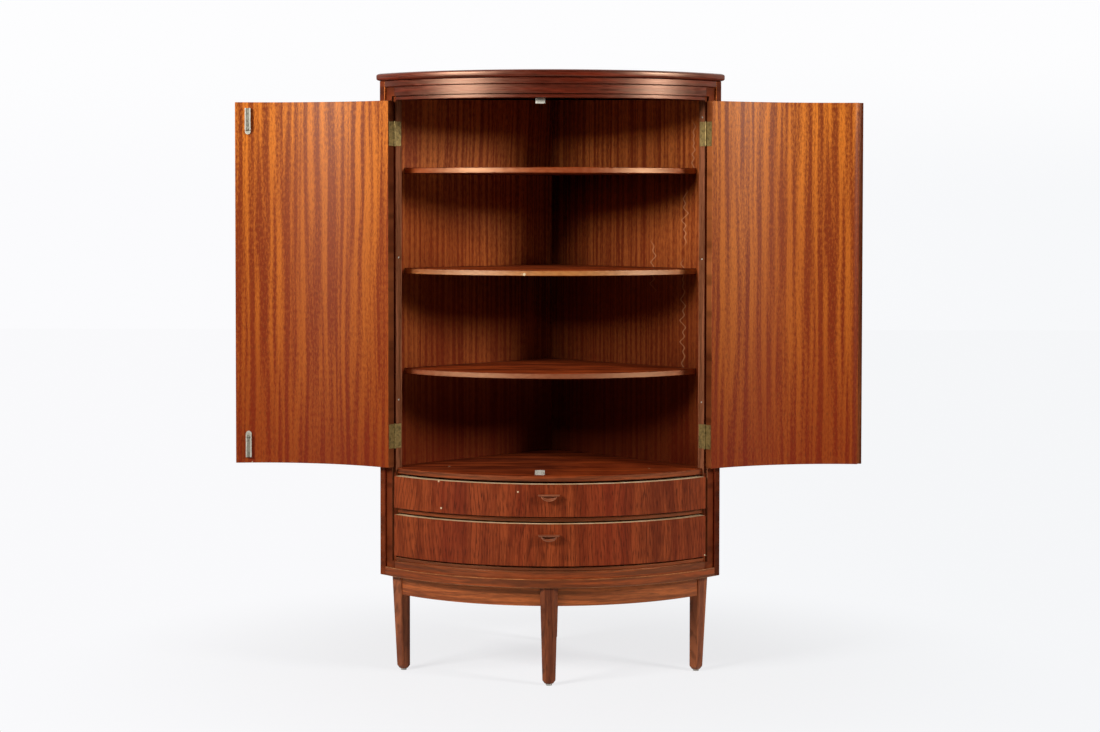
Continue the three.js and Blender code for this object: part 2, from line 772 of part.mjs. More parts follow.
// A leg's plan: a square that grows from one corner, with every arris taken off
function legPlan([inset, along], [towardInset, towardAlong], size, share, planed) {
  const margin = (1 - share) * size / 2;
  const place = (u, v) => atWall(1, inset + towardInset * u, along + towardAlong * v);
  const low = margin;
  const high = size - margin;
  const chamfer = legChamfer * share;
  const far = planed ? planedShare * size * share : chamfer;
  return [place(low + chamfer, low), place(high - chamfer, low), place(high, low + chamfer),
    place(high, high - far), place(high - far, high), place(low + chamfer, high),
    place(low, high - chamfer), place(low, low + chamfer)];
}

function legBlank(corner, toward, planed = false) {
  const plan = (size, share) => legPlan(corner, toward, size, share, planed);
  return loft([
    { z: glideHeight, points: plan(footSide, footShare) },
    { z: glideHeight + footChamferHeight, points: plan(footSide, 1) },
    { z: legHeight, points: plan(legSide, 1) },
  ]);
}

function glideAt([inset, along], [towardInset, towardAlong]) {
  const [x, y] = atWall(1, inset + towardInset * footSide / 2, along + towardAlong * footSide / 2);
  const glide = new THREE.CylinderGeometry(glideRadius, glideRadius, glideHeight, roundSteps);
  return glide.rotateX(Math.PI / 2).translate(x, y, glideHeight / 2);
}

function addBase() {
  const glideFinish = () => finish(colours.glide, 0.4);
  const apronBase = legHeight - apronHeight;
  const inner = legInset + legSide;
  const far = wallLength - legSetback - legSide;
  const cornerLegs = { left: [[far, inner], [1, -1]], right: [[inner, far], [-1, 1]] };
  for (const [name, [corner, toward]] of Object.entries(cornerLegs)) {
    add(`${name}_leg`, legBlank(corner, toward), railWood());
    add(`${name}_glide`, glideAt(corner, toward), glideFinish());
  }
  add('rear_leg', legBlank([inner, inner], [-1, -1]), railWood());
  add('rear_glide', glideAt([inner, inner], [-1, -1]), glideFinish());
  const centreBack = (apronRadius - arcCentre - centreLegLap) / rootTwo;
  const centre = [centreBack, centreBack];
  const lap = slab(barOutline(apronRadius + fit, apronRadius - apronThickness * 2, inner),
    apronBase - fit, legHeight + overrun);
  add('centre_leg', cut(legBlank(centre, [1, 1], true), [lap]), railWood());
  add('centre_glide', glideAt(centre, [1, 1]), glideFinish());
  const apron = barOutline(apronRadius, apronRadius - apronThickness, inner + fit);
  add('front_apron', slab(apron, apronBase, legHeight), railWood());
  for (const [name, side] of Object.entries(sides)) {
    const rail = wallBlock(side, [backApronInset, backApronInset + apronThickness],
      [inner + fit, far - fit], [apronBase, legHeight]);
    add(`${name}_apron`, rail, railWood());
  }
}

addBoards();
addSidePanels();
addFaceFrame();
addInside();
addRunners();
addDoors();
addKeepers();
addDrawers();
addBase();

export default model;
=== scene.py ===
import json
import math

import bpy
from mathutils import Matrix, Vector


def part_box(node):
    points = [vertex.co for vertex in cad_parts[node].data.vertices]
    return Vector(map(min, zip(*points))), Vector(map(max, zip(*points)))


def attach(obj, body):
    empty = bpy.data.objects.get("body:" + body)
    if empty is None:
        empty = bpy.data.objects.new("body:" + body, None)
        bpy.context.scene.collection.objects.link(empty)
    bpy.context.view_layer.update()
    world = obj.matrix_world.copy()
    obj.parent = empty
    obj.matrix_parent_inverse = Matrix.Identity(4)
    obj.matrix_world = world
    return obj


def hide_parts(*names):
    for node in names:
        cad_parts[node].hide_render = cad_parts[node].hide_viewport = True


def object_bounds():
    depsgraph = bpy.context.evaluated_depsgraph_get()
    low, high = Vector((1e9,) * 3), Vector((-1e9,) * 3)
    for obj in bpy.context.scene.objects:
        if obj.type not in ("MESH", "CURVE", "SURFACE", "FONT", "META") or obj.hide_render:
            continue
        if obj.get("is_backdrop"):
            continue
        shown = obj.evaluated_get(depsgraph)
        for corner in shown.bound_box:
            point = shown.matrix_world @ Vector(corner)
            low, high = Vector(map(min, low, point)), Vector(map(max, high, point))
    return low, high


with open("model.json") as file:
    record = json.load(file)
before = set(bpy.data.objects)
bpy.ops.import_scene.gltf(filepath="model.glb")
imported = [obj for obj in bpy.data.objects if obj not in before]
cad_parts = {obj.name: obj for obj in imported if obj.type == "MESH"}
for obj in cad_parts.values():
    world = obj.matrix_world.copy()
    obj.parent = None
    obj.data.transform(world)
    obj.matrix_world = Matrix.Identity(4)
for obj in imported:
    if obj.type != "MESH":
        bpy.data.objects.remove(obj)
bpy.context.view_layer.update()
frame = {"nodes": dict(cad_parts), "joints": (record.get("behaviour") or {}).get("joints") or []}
print("frame loaded:", len(frame["nodes"]), "nodes")

# Where the case is struck from, in metres: the front's arcs share one centre, and the two
# walls meet at the corner behind it.
caseLines = {
    "arcCentre": Vector((0, -0.012829, 0)), "frontRadius": 0.45, "corner": Vector((0, 0.047376, 0)),
    "onPlan": Vector((1, 1, 0)),  # times a place or direction, leaves out its height
}

# The camera stands above the middle of the cabinet and looks almost level.
cameraPlace = {
    "at": (0.0476, -4.8932, 0.9763), "tilt": 0.03470, "turn": 0.01050, "roll": -0.0013,
    "lens": 72.47, "shiftY": -0.0795, "sensor": 36, "farthest": 60,
}

bpy.ops.object.camera_add(
    location=cameraPlace["at"],
    rotation=(math.pi / 2 - cameraPlace["tilt"], cameraPlace["roll"], cameraPlace["turn"]),
)
camera = bpy.context.object
camera.name = "studioCamera"
camera.data.lens = cameraPlace["lens"]
camera.data.sensor_width = cameraPlace["sensor"]
camera.data.shift_y = cameraPlace["shiftY"]
camera.data.clip_end = cameraPlace["farthest"]
bpy.context.scene.camera = camera
bpy.context.scene.view_settings.view_transform = "Standard"
print("camera placed")


def linearColour(code):
    # sRGB hex to the linear values that shaders take
    channels = [int(code[i:i + 2], 16) / 255 for i in (1, 3, 5)]
    return tuple(c / 12.92 if c <= 0.04045 else ((c + 0.055) / 1.055) ** 2.4 for c in channels) + (1,)


def addNode(tree, kind, values=None, links=None, **settings):
    node = tree.nodes.new(kind)
    for name, value in settings.items():
        setattr(node, name, value)
    for socket, value in (values or {}).items():
        node.inputs[socket].default_value = value
    for socket, source in (links or {}).items():
        tree.links.new(source, node.inputs[socket])
    return node


def emptyMaterial(name):
    material = bpy.data.materials.new(name)
    material.use_nodes = True
    tree = material.node_tree
    tree.nodes.clear()
    output = addNode(tree, "ShaderNodeOutputMaterial")
    return material, tree, output


def onlySelect(piece):
    bpy.ops.object.select_all(action="DESELECT")
    piece.select_set(True)
    bpy.context.view_layer.objects.active = piece


def settle(piece):
    # The finished piece's place goes into its mesh, and its object to the origin.
    onlySelect(piece)
    bpy.ops.object.transform_apply(location=True, rotation=True, scale=True)


# What all the woods share. Lengths are in millimetres, across the grain first and then along it.
# A "reach" is the part of a noise that counts.
grainBasics = {
    "wanderWidth": 70, "stepSize": (120, 700), "stepPush": 13,
    "ribbonReach": {"From Min": 0.34, "From Max": 0.66},
    "fleckReach": {"From Min": 0.3, "From Max": 0.7},
    "driftReach": {"From Min": 0.4, "From Max": 0.68}, "driftStretch": 5,
    "lineReach": {"From Min": 0.62, "From Max": 0.97}, "patchStretch": 1.7, "patchLength": 160,
    "poreReach": {"From Min": 0.56, "From Max": 0.72},
    # the heights where the painted shade toward the floor begins and where it is full
    "paintedShadeReach": {"From Min": 1.15, "From Max": 0.45},  # heights above the floor, in metres
    "duller": 0.07, "glossier": 0.05, "poreRelief": 0.6, "bumpDepth": 0.0004,
}
zigzagLooks = {
    "tone": "#E6A878", "turns": 15, "swing": 26, "fade": 20,
    "lineReach": {"From Min": 2.6, "From Max": 0.6, "To Max": 0.42},
}
chipLooks = {"tone": "#E2C9A0", "raggedness": 420}


# "ribbon" is the light and dark banding of the veneer, "ring" the thin dark growth lines, "fleck" the
# short lens-shaped flakes. Flecks and pores are drawn coarser than they are, so that they show.
def woodFinish(name, looks):
    material, tree, output = emptyMaterial(name)
    grainMap = addNode(tree, "ShaderNodeUVMap", uv_map="grain")
    inMillimetres = addNode(tree, "ShaderNodeVectorMath", {1: (1000, 1000, 1000)},
                            {0: grainMap.outputs[0]}, operation="MULTIPLY")

    # the grain wanders slowly from side to side along its length
    slow = addNode(tree, "ShaderNodeVectorMath",
                   {1: (1 / grainBasics["wanderWidth"], 1 / looks["wanderLength"], 1)},
                   {0: inMillimetres.outputs[0]}, operation="MULTIPLY")
    wander = addNode(tree, "ShaderNodeTexNoise", {"Scale": 1, "Detail": 2, "Roughness": 0.45},
                     {"Vector": slow.outputs[0]}, noise_dimensions="2D")
    centred = addNode(tree, "ShaderNodeMath", {1: 0.5}, {0: wander.outputs[0]}, operation="SUBTRACT")
    aside = addNode(tree, "ShaderNodeMath", {1: looks["wander"]}, {0: centred.outputs[0]},
                    operation="MULTIPLY")
    asideVector = addNode(tree, "ShaderNodeCombineXYZ", links={0: aside.outputs[0]})
    grain = addNode(tree, "ShaderNodeVectorMath",
                    links={0: inMillimetres.outputs[0], 1: asideVector.outputs[0]}, operation="ADD")

    def grainNoise(across, along, detail, roughness, shift):
        shift = looks["shift"] + shift
        scaled = addNode(tree, "ShaderNodeVectorMath",
                         {1: (1 / across, 1 / along, 1), 2: (shift, shift * 0.37, 0)},
                         {0: grain.outputs[0]}, operation="MULTIPLY_ADD")
        return addNode(tree, "ShaderNodeTexNoise", {"Scale": 1, "Detail": detail, "Roughness": roughness},
                       {"Vector": scaled.outputs[0]}, noise_dimensions="2D").outputs[0]

    # even ribbons, pushed out of step and broken up by noise
    split = addNode(tree, "ShaderNodeSeparateXYZ", links={0: grain.outputs[0]})
    outOfStep = grainNoise(*grainBasics["stepSize"], 1, 0.4, 13)
    beat = addNode(tree, "ShaderNodeMath", {1: math.tau / looks["ribbonPitch"]}, {0: split.outputs[0]},
                   operation="MULTIPLY")
    pushed = addNode(tree, "ShaderNodeMath", {1: grainBasics["stepPush"]},
                     {0: outOfStep, 2: beat.outputs[0]}, operation="MULTIPLY_ADD")
    wave = addNode(tree, "ShaderNodeMath", links={0: pushed.outputs[0]}, operation="SINE")
    broken = grainNoise(looks["ribbonWidth"], looks["ribbonLength"], 2, 0.5, 0)
    ribbon = addNode(tree, "ShaderNodeMath", {1: looks["waveStrength"]}, {0: wave.outputs[0], 2: broken},
                     operation="MULTIPLY_ADD").outputs[0]
    band = addNode(tree, "ShaderNodeMapRange", grainBasics["ribbonReach"], {"Value": ribbon})
    fleck = grainNoise(looks["fleckWidth"], looks["fleckLength"], 2, 0.6, 4)
    fleckLift = addNode(tree, "ShaderNodeMapRange", {
        **grainBasics["fleckReach"], "To Min": -looks["fleckStrength"], "To Max": looks["fleckStrength"]},
        {"Value": fleck})
    share = addNode(tree, "ShaderNodeMath", links={0: band.outputs[0], 1: fleckLift.outputs[0]},
                    operation="ADD", use_clamp=True)
    colour = addNode(tree, "ShaderNodeMix", {6: linearColour(looks["dark"]), 7: linearColour(looks["light"])},
                     {0: share.outputs[0]}, data_type="RGBA")

    # wide drifts of a second, redder tone
    drift = grainNoise(looks["driftWidth"], looks["driftWidth"] * grainBasics["driftStretch"], 1, 0.4, 9)
    driftShare = addNode(tree, "ShaderNodeMapRange",
                         {**grainBasics["driftReach"], "To Max": looks["driftStrength"]}, {"Value": drift})
    colour = addNode(tree, "ShaderNodeMix", {7: linearColour(looks["drift"])},
                     {0: driftShare.outputs[0], 6: colour.outputs[2]}, data_type="RGBA")

    # growth lines: a ring count that bends with a slow noise, so that they draw long arches
    figure = grainNoise(looks["figureWidth"], looks["figureLength"], 1, 0.35, 2)
    count = addNode(tree, "ShaderNodeMath", {1: 1 / looks["ringPitch"]}, {0: split.outputs[0]},
                    operation="MULTIPLY")
    bent = addNode(tree, "ShaderNodeMath", {1: looks["figureRings"]}, {0: figure, 2: count.outputs[0]},
                   operation="MULTIPLY_ADD")
    phase = addNode(tree, "ShaderNodeMath", links={0: bent.outputs[0]}, operation="FRACT")
    line = addNode(tree, "ShaderNodeMapRange", grainBasics["lineReach"], {"Value": phase.outputs[0]},
                   interpolation_type="SMOOTHSTEP")
    patchy = grainNoise(looks["ribbonWidth"] * grainBasics["patchStretch"], grainBasics["patchLength"],
                        2, 0.5, 6)
    lineShare = addNode(tree, "ShaderNodeMath", links={0: line.outputs[0], 1: patchy}, operation="MULTIPLY")
    lineDepth = addNode(tree, "ShaderNodeMath", {1: looks["ringStrength"]}, {0: lineShare.outputs[0]},
                        operation="MULTIPLY", use_clamp=True)
    colour = addNode(tree, "ShaderNodeMix", {7: linearColour(looks["ring"])},
                     {0: lineDepth.outputs[0], 6: colour.outputs[2]}, data_type="RGBA")

    # painted shade: some pieces are drawn darker and redder toward the floor, where the lamps light them less
    place = addNode(tree, "ShaderNodeTexCoord")
    if "paintedShadeTone" in looks:
        height = addNode(tree, "ShaderNodeSeparateXYZ", links={0: place.outputs["Object"]})
        paintedShadeShare = addNode(tree, "ShaderNodeMapRange",
                           {**grainBasics["paintedShadeReach"], "To Max": looks["paintedShadeShare"]},
                           {"Value": height.outputs[2]})
        colour = addNode(tree, "ShaderNodeMix", {7: linearColour(looks["paintedShadeTone"])},
                         {0: paintedShadeShare.outputs[0], 6: colour.outputs[2]}, data_type="RGBA")

    # fine open pores, short dark dashes along the grain
    pore = grainNoise(looks["poreWidth"], looks["poreLength"], 1, 0.5, 1)
    poreShare = addNode(tree, "ShaderNodeMapRange",
                        {**grainBasics["poreReach"], "To Max": looks["poreStrength"]}, {"Value": pore})
    colour = addNode(tree, "ShaderNodeMix", {7: linearColour(looks["ring"])},
                     {0: poreShare.outputs[0], 6: colour.outputs[2]}, data_type="RGBA")

    # thin pale lines that zigzag up the veneer
    for across, low, high in looks.get("zigzags", ()):
        zigPlace = addNode(tree, "ShaderNodeVectorMath",
                           {1: (0, 1 / zigzagLooks["turns"], 0), 2: (across, 0, 0)},
                           {0: inMillimetres.outputs[0]}, operation="MULTIPLY_ADD")
        zig = addNode(tree, "ShaderNodeTexNoise", {"Scale": 1, "Detail": 0}, {"Vector": zigPlace.outputs[0]},
                      noise_dimensions="2D")
        swung = addNode(tree, "ShaderNodeMath", {1: zigzagLooks["swing"]},
                        {0: zig.outputs[0], 2: split.outputs[0]}, operation="MULTIPLY_ADD")
        apart = addNode(tree, "ShaderNodeMath", {1: across + zigzagLooks["swing"] / 2},
                        {0: swung.outputs[0]}, operation="SUBTRACT")
        gap = addNode(tree, "ShaderNodeMath", links={0: apart.outputs[0]}, operation="ABSOLUTE")
        thin = addNode(tree, "ShaderNodeMapRange", zigzagLooks["lineReach"], {"Value": gap.outputs[0]})
        middle = addNode(tree, "ShaderNodeMath", {1: (low + high) / 2}, {0: split.outputs[1]},
                         operation="SUBTRACT")
        reach = addNode(tree, "ShaderNodeMath", links={0: middle.outputs[0]}, operation="ABSOLUTE")
        half = (high - low) / 2
        within = addNode(tree, "ShaderNodeMapRange",
                         {"From Min": half, "From Max": half - zigzagLooks["fade"]},
                         {"Value": reach.outputs[0]})
        paleShare = addNode(tree, "ShaderNodeMath", links={0: thin.outputs[0], 1: within.outputs[0]},
                            operation="MULTIPLY")
        colour = addNode(tree, "ShaderNodeMix", {7: linearColour(zigzagLooks["tone"])},
                         {0: paleShare.outputs[0], 6: colour.outputs[2]}, data_type="RGBA")

    # small knocks where the veneer has lifted and the pale ground shows
    ragged = addNode(tree, "ShaderNodeTexNoise", {"Scale": chipLooks["raggedness"], "Detail": 2},
                     {"Vector": place.outputs["Object"]})
    for spot, radius in looks.get("chips", ()):
        away = addNode(tree, "ShaderNodeVectorMath", {1: [c / 1000 for c in spot]},
                       {0: place.outputs["Object"]}, operation="DISTANCE")
        edge = addNode(tree, "ShaderNodeMath", {1: radius / 1000}, {0: ragged.outputs[0]},
                       operation="MULTIPLY")
        chip = addNode(tree, "ShaderNodeMath", links={0: away.outputs["Value"], 1: edge.outputs[0]},
                       operation="LESS_THAN")
        colour = addNode(tree, "ShaderNodeMix", {7: linearColour(chipLooks["tone"])},
                         {0: chip.outputs[0], 6: colour.outputs[2]}, data_type="RGBA")

    gloss = addNode(tree, "ShaderNodeMapRange", {
        **grainBasics["fleckReach"], "To Min": looks["roughness"] - grainBasics["glossier"],
        "To Max": looks["roughness"] + grainBasics["duller"]}, {"Value": fleck})
    relief = addNode(tree, "ShaderNodeMath", {1: grainBasics["poreRelief"]}, {0: pore, 2: ribbon},
                     operation="MULTIPLY_ADD")
    bump = addNode(tree, "ShaderNodeBump",
                   {"Strength": looks["bump"], "Distance": grainBasics["bumpDepth"]},
                   {"Height": relief.outputs[0]})
    shader = addNode(tree, "ShaderNodeBsdfPrincipled", {
        "IOR": looks["film"], "Specular IOR Level": looks["sheen"],
        "Specular Tint": linearColour(looks["sheenTone"]),
        "Coat Weight": looks["coat"], "Coat Roughness": looks["coatRoughness"]},
        {"Base Color": colour.outputs[2], "Roughness": gloss.outputs[0], "Normal": bump.outputs[0]})
    tree.links.new(shader.outputs[0], output.inputs[0])
    return material


# Sapele veneer, quarter cut and satin varnished: straight orange and brown ribbons that shimmer
ribbonSapele = {
    "light": "#D07424", "dark": "#7C3412", "drift": "#94441A", "ring": "#562610",
    "ribbonPitch": 24, "waveStrength": 0.1, "ribbonWidth": 12, "ribbonLength": 640,
    "wander": 17, "wanderLength": 520, "shift": 3.1, "fleckWidth": 2.8, "fleckLength": 9,
    "fleckStrength": 0.34, "driftWidth": 90, "driftStrength": 0.3, "figureWidth": 60, "figureLength": 900,
    "figureRings": 3, "ringPitch": 7, "ringStrength": 0.16, "poreWidth": 1.6, "poreLength": 14,
    "poreStrength": 0.34, "roughness": 0.42, "film": 1.5, "sheen": 0.22, "sheenTone": "#FFF0DC",
    # painted shade toward the floor, standing in for the lamps' falloff
    "coat": 0.03, "coatRoughness": 0.32, "bump": 0.12, "paintedShadeTone": "#7A1C08", "paintedShadeShare": 0.74,
}
# The same veneer inside the case, older and browner, with finer ribbons
innerVeneer = {
    **ribbonSapele, "light": "#D27436", "dark": "#8C3C1C", "drift": "#963C1A", "ribbonPitch": 17,
    "ribbonWidth": 7, "waveStrength": 0.05, "ribbonLength": 560, "wander": 5, "shift": 11.7,
    "fleckWidth": 4, "fleckLength": 12, "fleckStrength": 0.3, "roughness": 0.48, "sheen": 0.12,
    # stronger painted shade toward the floor inside the case
    "paintedShadeTone": "#5A0F05", "paintedShadeShare": 0.8,
}
# Teak veneer, crown cut: red-brown with thin dark growth lines that arch up the fronts
crownTeak = {
    "light": "#9E4A21", "dark": "#7A2F13", "drift": "#812B15", "ring": "#451708",
    "ribbonPitch": 60, "waveStrength": 0.04, "ribbonWidth": 22, "ribbonLength": 300,
    "wander": 9, "wanderLength": 260, "shift": 21.3, "fleckWidth": 2.4, "fleckLength": 34,
    "fleckStrength": 0.3, "driftWidth": 110, "driftStrength": 0.55, "figureWidth": 85, "figureLength": 240,
    "figureRings": 6, "ringPitch": 7, "ringStrength": 0.7, "poreWidth": 2.2, "poreLength": 24,
    "poreStrength": 0.6, "roughness": 0.46, "film": 1.5, "sheen": 0.14, "sheenTone": "#FFE9D2",
    "coat": 0.0, "coatRoughness": 0.28, "bump": 0.15,
}
# Solid teak of the frame, rails, aprons and legs, rubbed smooth by hand
solidTeak = {
    **crownTeak, "light": "#6C1E0A", "dark": "#401005", "drift": "#4A1206", "ring": "#220803",
    "ribbonPitch": 21, "ribbonWidth": 9, "ribbonLength": 260, "wander": 8, "shift": 33.9,
    "figureWidth": 40, "figureLength": 300, "figureRings": 4, "ringPitch": 4.5, "ringStrength": 0.5,
    "poreStrength": 0.4, "roughness": 0.33, "film": 1.54, "sheen": 0.9, "sheenTone": "#FFDCC0",
    "coat": 0.04,
}
# Beech of the drawers' insides, bare and slightly yellowed
bareBeech = {
    **crownTeak, "light": "#D9BC90", "dark": "#BE9A68", "drift": "#C7A374", "ring": "#8E6A40",
    "ribbonPitch": 34, "ribbonWidth": 14, "wander": 6, "shift": 45.2, "fleckWidth": 1.5,
    "fleckLength": 8, "fleckStrength": 0.18, "driftWidth": 80, "driftStrength": 0.4, "figureWidth": 50,
    "figureLength": 300, "figureRings": 3, "ringPitch": 6, "ringStrength": 0.3, "poreStrength": 0.25,
    "roughness": 0.62, "sheen": 0.3, "bump": 0.1,
}

# Knocks, each a place and a radius, and zigzags, each a place across the wall and its two heights:
# all in millimetres
drawerChips = [
    ((-225.4, -408.3, 408.0), 4.2), ((-220.1, -411.3, 353.1), 3.8), ((-63.0, -463.6, 393.8), 3.2),
    ((320.4, -336.2, 246.7), 3.2), ((-251.9, -392.0, 241.6), 2.2)]
shelfChips = [
    ((-51.7, -413.5, 829.0), 6.0), ((-57.0, -411.0, 829.5), 4.0), ((-283.3, -300.9, 630.5), 3.2),
    ((293.4, -290.6, 630.5), 2.8), ((-209.2, -300.0, 426.0), 4.4), ((205.6, -330.0, 426.0), 3.0)]
doorChips = [((-626.5, -264.5, 428.5), 6.5)]
zigzags = [(324, 780, 900), (410, 610, 860), (414, 880, 1010), (437, 1030, 1150)]

# Edges and arrises that hands have polished shine more than the boards, hence their higher film.
woods = {
    "doorInside": woodFinish("quarterCutSapeleVeneer", {**ribbonSapele, "chips": doorChips}),
    "doorOutside": woodFinish("crownCutTeakVeneer", crownTeak),
    "drawerFront": woodFinish("crownCutTeakFronts", {
        **crownTeak, "light": "#9C4621", "dark": "#702A11", "sheen": 0.18, "ringPitch": 9,
        "ringStrength": 0.9, "poreStrength": 0.68, "chips": drawerChips, "shift": 27.4}),
    "caseOutside": woodFinish("crownCutTeakSides", {**crownTeak, "shift": 52.6}),
    "caseInside": woodFinish("quarterCutSapeleLining", innerVeneer),
    "caseInsideRight": woodFinish("zigzagSapeleLining", {**innerVeneer, "shift": 15.2, "zigzags": zigzags}),
    "shelf": woodFinish("sapeleShelfVeneer", {
        **innerVeneer, "light": "#943E14", "dark": "#3E1204", "drift": "#702408", "ribbonPitch": 74,
        "ribbonWidth": 26, "fleckWidth": 20, "fleckLength": 90, "fleckStrength": 0.5, "ringPitch": 26,
        # a little painted shade toward the floor on the shelves
        "ringStrength": 0.8, "sheen": 0.25, "paintedShadeTone": "#6C1E06", "paintedShadeShare": 0.3, "shift": 61.0,
        "chips": shelfChips}),
    "shelfEdge": woodFinish("sapeleEdgeBand", {
        **innerVeneer, "light": "#9C4820", "dark": "#803212", "shift": 66.0, "roughness": 0.34,
        "film": 1.88, "sheen": 1.0, "sheenTone": "#FFCC9A", "coat": 0.12, "paintedShadeShare": 0,
        "chips": shelfChips}),
    "lowerShelfEdge": woodFinish("wornSapeleEdgeBand", {
        **innerVeneer, "light": "#94421E", "dark": "#782C10", "shift": 68.0, "roughness": 0.42,
        "film": 2.2, "sheen": 1.0, "sheenTone": "#FFD0A0", "coat": 0.1, "paintedShadeShare": 0,
        "chips": shelfChips}),
    "paleEdge": woodFinish("paleEdgeBand", {
        **innerVeneer, "light": "#BE7836", "dark": "#9E5C28", "shift": 71.0, "roughness": 0.37,
        "film": 1.95, "sheen": 1.0, "sheenTone": "#FFDEBA", "coat": 0.2, "paintedShadeShare": 0,
        "chips": shelfChips}),
    "solid": woodFinish("rubbedSolidTeak", {**solidTeak, "sheenTone": "#FFC8A4"}),
    "legs": woodFinish("rubbedTeakLegs", {
        **solidTeak, "light": "#B66A42", "dark": "#8C4C30", "film": 1.5, "sheen": 0.3, "shift": 81.0}),
    # a darker copy of the legs' finish for the centre leg: painted shade
    "centreLeg": woodFinish("shadePaintedTeakLeg", {
        **solidTeak, "light": "#8E4C2C", "dark": "#683420", "film": 1.5, "sheen": 0.3, "shift": 83.0}),
    "apron": woodFinish("rubbedTeakAprons", {
        **solidTeak, "light": "#C2622E", "dark": "#863818", "ring": "#3E160A", "ribbonPitch": 9,
        "ringPitch": 8, "ringStrength": 0.7, "film": 1.72, "sheen": 1.0, "sheenTone": "#FFBE88",
        "roughness": 0.42, "shift": 86.0}),
    "railTeak": woodFinish("rubbedTeakRails", {
        **solidTeak, "light": "#9C4014", "dark": "#481606", "ringPitch": 8, "ringStrength": 0.9,
        "roughness": 0.44, "film": 1.86, "sheen": 1.0, "sheenTone": "#FFA876", "shift": 91.0}),
    # a lighter copy of the teak for the eased edges: painted highlight
    "paintedHighlightArris": woodFinish("highlightPaintedTeakArris", {
        **solidTeak, "light": "#C8804A", "dark": "#A06034", "roughness": 0.44, "film": 1.7, "sheen": 1.0,
        "sheenTone": "#FFC890", "shift": 92.0}),
    "pull": woodFinish("turnedTeakPulls", {
        **solidTeak, "light": "#B4663E", "dark": "#8A4628", "roughness": 0.4, "film": 1.7, "sheen": 1.0,
        "shift": 93.0}),
    "stile": woodFinish("rubbedTeakStiles", {
        **solidTeak, "light": "#8E4220", "dark": "#6A2C12", "roughness": 0.46, "film": 1.5, "sheen": 0.12,
        "coat": 0.0, "shift": 97.0}),
    "innerFace": woodFinish("unpolishedTeak", {
        **solidTeak, "light": "#94593C", "dark": "#73442C", "roughness": 0.7, "sheen": 0.0, "coat": 0.0,
        "shift": 95.0}),
    "darkEdge": woodFinish("rubbedTeakEdge", {
        **solidTeak, "light": "#8A4A28", "dark": "#64301A", "film": 1.5, "sheen": 0.1, "shift": 39.0}),
    # a lighter copy of the door edge finish for the right door's hinge edge: painted light
    "paintedLightEdge": woodFinish("lightPaintedTeakEdge", {
        **solidTeak, "light": "#BC6C3A", "dark": "#8C4A26", "film": 1.5, "sheen": 0.1, "shift": 41.0}),
    # a darker copy of the stile finish for the right side's front edge: painted shade
    "paintedShadeEdge": woodFinish("shadePaintedTeakEdge", {
        **solidTeak, "light": "#7E3818", "dark": "#5C260E", "film": 1.5, "sheen": 0.1, "shift": 99.0}),
    "lipping": woodFinish("mapleLipping", {
        **bareBeech, "light": "#F4DDB4", "dark": "#E2C494", "shift": 47.0}),
    "bare": woodFinish("bareBeech", bareBeech),
}
print("woods mixed:", len(woods))

metalBasics = {"cloudReach": {"From Min": 0.38, "From Max": 0.66}, "scratchScale": 900,
               "scratchBump": {"Strength": 0.08, "Distance": 0.0002}}


# Clean and tarnished patches in soft clouds, under fine scratches
def metalFinish(name, looks):
    material, tree, output = emptyMaterial(name)
    place = addNode(tree, "ShaderNodeTexCoord")
    cloud = addNode(tree, "ShaderNodeTexNoise", {"Scale": looks["cloudScale"], "Detail": 4, "Roughness": 0.6},
                    {"Vector": place.outputs["Object"]})
    share = addNode(tree, "ShaderNodeMapRange", metalBasics["cloudReach"], {"Value": cloud.outputs[0]})
    colour = addNode(tree, "ShaderNodeMix",
                     {6: linearColour(looks["clean"]), 7: linearColour(looks["tarnish"])},
                     {0: share.outputs[0]}, data_type="RGBA")
    gloss = addNode(tree, "ShaderNodeMapRange", {
        "To Min": looks["roughness"], "To Max": looks["roughness"] + looks["roughSpread"]},
        {"Value": share.outputs[0]})
    scratch = addNode(tree, "ShaderNodeTexNoise", {"Scale": metalBasics["scratchScale"], "Detail": 2},
                      {"Vector": place.outputs["Object"]})
    bump = addNode(tree, "ShaderNodeBump", metalBasics["scratchBump"], {"Height": scratch.outputs[0]})
    shader = addNode(tree, "ShaderNodeBsdfPrincipled", {"Metallic": looks["metallic"]},
                     {"Base Color": colour.outputs[2], "Roughness": gloss.outputs[0],
                      "Normal": bump.outputs[0]})
    tree.links.new(shader.outputs[0], output.inputs[0])
    return material


metals = {
    # Rolled brass, gone brown-green under old lacquer
    "brass": metalFinish("agedRolledBrass", {
        "clean": "#A88E54", "tarnish": "#6A5830", "cloudScale": 110, "roughness": 0.36,
        "roughSpread": 0.2, "metallic": 0.6}),
    # Nickel-plated steel of the bolts, dulled and finger-marked
    "nickel": metalFinish("dulledNickelPlate", {
        "clean": "#D8D5C6", "tarnish": "#B4B0A0", "cloudScale": 120, "roughness": 0.36,
        "roughSpread": 0.16, "metallic": 0.35}),
    # The slide itself, with grime in it
    "slide": metalFinish("grimyNickelPlate", {
        "clean": "#A29D8C", "tarnish": "#6B6659", "cloudScale": 160, "roughness": 0.42,
        "roughSpread": 0.2, "metallic": 0.35}),
    # The keepers, grey with dust
    "keeper": metalFinish("dustyNickelPlate", {
        "clean": "#D8D4C6", "tarnish": "#AAA698", "cloudScale": 140, "roughness": 0.45,
        "roughSpread": 0.16, "metallic": 0.35}),
    # Moulded nylon glides: smooth, dull and a little yellowed
    "nylon": metalFinish("mouldedNylon", {
        "clean": "#BDBBB4", "tarnish": "#97958D", "cloudScale": 60, "roughness": 0.5,
        "roughSpread": 0.1, "metallic": 0.0}),
}
print("metals and glides mixed:", len(metals))

# Merging within this many metres, and the angles in degrees below which faces are one flat,
# above which an edge is eased, and below which it is shaded smooth
shaping = {"mergeWithin": 0.00002, "flatBelow": 0.6, "easeAbove": 28, "smoothBelow": 34}


